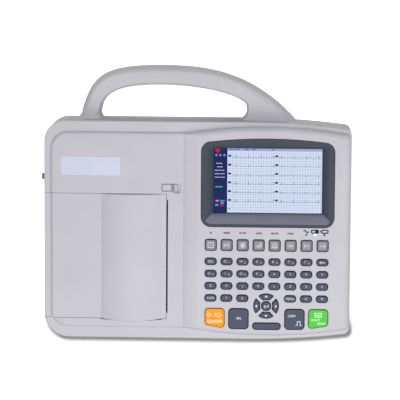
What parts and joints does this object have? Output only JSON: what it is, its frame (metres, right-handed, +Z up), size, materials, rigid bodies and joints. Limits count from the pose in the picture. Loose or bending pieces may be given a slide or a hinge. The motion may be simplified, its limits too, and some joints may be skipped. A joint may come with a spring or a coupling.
{
  "type": "ecg machine",
  "caption": "Portable ECG machine: flat plastic case with rear carry handle, hinged printer paper door, colour screen and keypad, with printer drive, electronics and battery inside.",
  "frame": {"origin": "on the table plane, under the middle of the box round the whole machine, handle included", "axes": "+X to the right as the user reads the screen, +Y to the back where the carry handle is, +Z up"},
  "size_m": [0.3115, 0.274, 0.071],
  "materials": {
    "case_plastic": "fine satin texture",
    "rubber": "matt",
    "steel": "satin",
    "plate": "smooth film",
    "dark_gloss": "satin gloss",
    "clear_window": "polished",
    "display": "lit display",
    "indicator": "clear, lit",
    "black_plastic": "fine texture",
    "brass": "turned",
    "white_plastic": "smooth",
    "aluminium": "extruded",
    "zinc_plate": "plated",
    "paper": "thermal paper, matt",
    "circuit_board": "solder mask",
    "battery_wrap": "shrink film",
    "key_grey": "satin silicone",
    "key_dark": "satin silicone",
    "key_orange": "satin silicone",
    "key_green": "satin silicone"
  },
  "bodies": {
    "case": {"top_case": "case_plastic", "bottom_case": "case_plastic", "handle_top_half": "case_plastic", "handle_bottom_half": "case_plastic", "rubber_feet": "rubber", "screws": "steel", "label_plate": "plate", "screen_bezel": "dark_gloss", "screen_window": "clear_window", "lcd_module": "display", "indicator_lights": "indicator", "door_hinge_pins": "steel", "latch_spring": "steel", "printer_frame": "black_plastic", "head_springs": "steel", "stepper_motor": "zinc_plate", "tear_bar": "steel", "main_board": "circuit_board", "keypad_board": "circuit_board", "power_board": "circuit_board", "battery_pack": "battery_wrap", "battery_door": "case_plastic", "speaker": "black_plastic", "mains_inlet": "black_plastic", "equipotential_post": "steel", "lead_connector": "zinc_plate", "data_ports": "zinc_plate"},
    "door": {"paper_door": "case_plastic", "platen_bushes": "brass"},
    "latch": {"door_latch": "case_plastic"},
    "platen": {"platen_shaft": "steel", "platen_rubber": "rubber", "platen_gear": "white_plastic"},
    "idler": {"idler_gear": "white_plastic"},
    "pinion": {"motor_pinion": "brass"},
    "roll": {"paper_roll": "paper", "paper_spindle": "white_plastic"},
    "head": {"print_head": "aluminium"},
    "function_key_1": {"function_key_1": "key_grey"},
    "function_key_2": {"function_key_2": "key_grey"},
    "function_key_3": {"function_key_3": "key_grey"},
    "function_key_4": {"function_key_4": "key_grey"},
    "function_key_5": {"function_key_5": "key_grey"},
    "function_key_6": {"function_key_6": "key_grey"},
    "function_key_7": {"function_key_7": "key_grey"},
    "function_key_8": {"function_key_8": "key_grey"},
    "small_keys_row_1": {"small_keys_row_1": "key_dark"},
    "small_keys_row_2": {"small_keys_row_2": "key_dark"},
    "small_keys_row_3": {"small_keys_row_3": "key_dark"},
    "small_keys_row_4": {"small_keys_row_4": "key_dark"},
    "up_key": {"up_key": "key_dark"},
    "down_key": {"down_key": "key_dark"},
    "left_key": {"left_key": "key_dark"},
    "right_key": {"right_key": "key_dark"},
    "enter_key": {"enter_key": "key_dark"},
    "power_key": {"power_key": "key_orange"},
    "fn_key": {"fn_key": "key_dark"},
    "copy_key": {"copy_key": "key_dark"},
    "start_key": {"start_key": "key_green"},
    "space_key": {"space_key": "key_dark"}
  },
  "joints": [
    {"name": "door_hinge", "type": "hinge", "parent": "case", "child": "door", "pos_m": [-0.15, -0.027, 0.034], "axis": [0, -1, 0], "range_deg": [0, 90]},
    {"name": "latch_slide", "type": "slide", "parent": "case", "child": "latch", "axis": [1, 0, 0], "range_m": [0, 0.0024], "stiffness_N_per_m": 400, "springref_m": -0.002, "deforming": ["latch_spring"]},
    {"name": "platen_spin", "type": "hinge", "parent": "door", "child": "platen", "pos_m": [-0.0385, -0.027, 0.052], "axis": [0, 1, 0], "continuous": true},
    {"name": "idler_spin", "type": "hinge", "parent": "case", "child": "idler", "pos_m": [-0.0385, -0.027, 0.0359], "axis": [0, 1, 0], "continuous": true},
    {"name": "motor_spin", "type": "hinge", "parent": "case", "child": "pinion", "pos_m": [-0.02825, -0.027, 0.02565], "axis": [0, 1, 0], "continuous": true},
    {"name": "roll_spin", "type": "hinge", "parent": "case", "child": "roll", "pos_m": [-0.0658, -0.027, 0.045], "axis": [0, 1, 0], "continuous": true},
    {"name": "head_slide", "type": "slide", "parent": "case", "child": "head", "axis": [1, 0, 0], "range_m": [0, 0.0008], "stiffness_N_per_m": 4000, "springref_m": -0.0015, "deforming": ["head_springs"]},
    {"name": "function_key_1_press", "type": "slide", "parent": "case", "child": "function_key_1", "axis": [0, 0, -1], "range_m": [0, 0.001], "stiffness_N_per_m": 900, "springref_m": -0.0006},
    {"name": "function_key_2_press", "type": "slide", "parent": "case", "child": "function_key_2", "axis": [0, 0, -1], "range_m": [0, 0.001], "stiffness_N_per_m": 900, "springref_m": -0.0006},
    {"name": "function_key_3_press", "type": "slide", "parent": "case", "child": "function_key_3", "axis": [0, 0, -1], "range_m": [0, 0.001], "stiffness_N_per_m": 900, "springref_m": -0.0006},
    {"name": "function_key_4_press", "type": "slide", "parent": "case", "child": "function_key_4", "axis": [0, 0, -1], "range_m": [0, 0.001], "stiffness_N_per_m": 900, "springref_m": -0.0006},
    {"name": "function_key_5_press", "type": "slide", "parent": "case", "child": "function_key_5", "axis": [0, 0, -1], "range_m": [0, 0.001], "stiffness_N_per_m": 900, "springref_m": -0.0006},
    {"name": "function_key_6_press", "type": "slide", "parent": "case", "child": "function_key_6", "axis": [0, 0, -1], "range_m": [0, 0.001], "stiffness_N_per_m": 900, "springref_m": -0.0006},
    {"name": "function_key_7_press", "type": "slide", "parent": "case", "child": "function_key_7", "axis": [0, 0, -1], "range_m": [0, 0.001], "stiffness_N_per_m": 900, "springref_m": -0.0006},
    {"name": "function_key_8_press", "type": "slide", "parent": "case", "child": "function_key_8", "axis": [0, 0, -1], "range_m": [0, 0.001], "stiffness_N_per_m": 900, "springref_m": -0.0006},
    {"name": "small_keys_row_1_press", "type": "slide", "parent": "case", "child": "small_keys_row_1", "axis": [0, 0, -1], "range_m": [0, 0.001], "stiffness_N_per_m": 2400, "springref_m": -0.0006},
    {"name": "small_keys_row_2_press", "type": "slide", "parent": "case", "child": "small_keys_row_2", "axis": [0, 0, -1], "range_m": [0, 0.001], "stiffness_N_per_m": 2400, "springref_m": -0.0006},
    {"name": "small_keys_row_3_press", "type": "slide", "parent": "case", "child": "small_keys_row_3", "axis": [0, 0, -1], "range_m": [0, 0.001], "stiffness_N_per_m": 2400, "springref_m": -0.0006},
    {"name": "small_keys_row_4_press", "type": "slide", "parent": "case", "child": "small_keys_row_4", "axis": [0, 0, -1], "range_m": [0, 0.001], "stiffness_N_per_m": 2400, "springref_m": -0.0006},
    {"name": "up_key_press", "type": "slide", "parent": "case", "child": "up_key", "axis": [0, 0, -1], "range_m": [0, 0.001], "stiffness_N_per_m": 600, "springref_m": -0.0006},
    {"name": "down_key_press", "type": "slide", "parent": "case", "child": "down_key", "axis": [0, 0, -1], "range_m": [0, 0.001], "stiffness_N_per_m": 600, "springref_m": -0.0006},
    {"name": "left_key_press", "type": "slide", "parent": "case", "child": "left_key", "axis": [0, 0, -1], "range_m": [0, 0.001], "stiffness_N_per_m": 600, "springref_m": -0.0006},
    {"name": "right_key_press", "type": "slide", "parent": "case", "child": "right_key", "axis": [0, 0, -1], "range_m": [0, 0.001], "stiffness_N_per_m": 600, "springref_m": -0.0006},
    {"name": "enter_key_press", "type": "slide", "parent": "case", "child": "enter_key", "axis": [0, 0, -1], "range_m": [0, 0.001], "stiffness_N_per_m": 600, "springref_m": -0.0006},
    {"name": "power_key_press", "type": "slide", "parent": "case", "child": "power_key", "axis": [0, 0, -1], "range_m": [0, 0.001], "stiffness_N_per_m": 900, "springref_m": -0.0006},
    {"name": "fn_key_press", "type": "slide", "parent": "case", "child": "fn_key", "axis": [0, 0, -1], "range_m": [0, 0.001], "stiffness_N_per_m": 900, "springref_m": -0.0006},
    {"name": "copy_key_press", "type": "slide", "parent": "case", "child": "copy_key", "axis": [0, 0, -1], "range_m": [0, 0.001], "stiffness_N_per_m": 900, "springref_m": -0.0006},
    {"name": "start_key_press", "type": "slide", "parent": "case", "child": "start_key", "axis": [0, 0, -1], "range_m": [0, 0.001], "stiffness_N_per_m": 900, "springref_m": -0.0006},
    {"name": "space_key_press", "type": "slide", "parent": "case", "child": "space_key", "axis": [0, 0, -1], "range_m": [0, 0.001], "stiffness_N_per_m": 900, "springref_m": -0.0006}
  ],
  "couplings": [
    {"joint": "idler_spin", "follows": "platen_spin", "ratio": -0.66667},
    {"joint": "motor_spin", "follows": "platen_spin", "ratio": 1.3333}
  ]
}
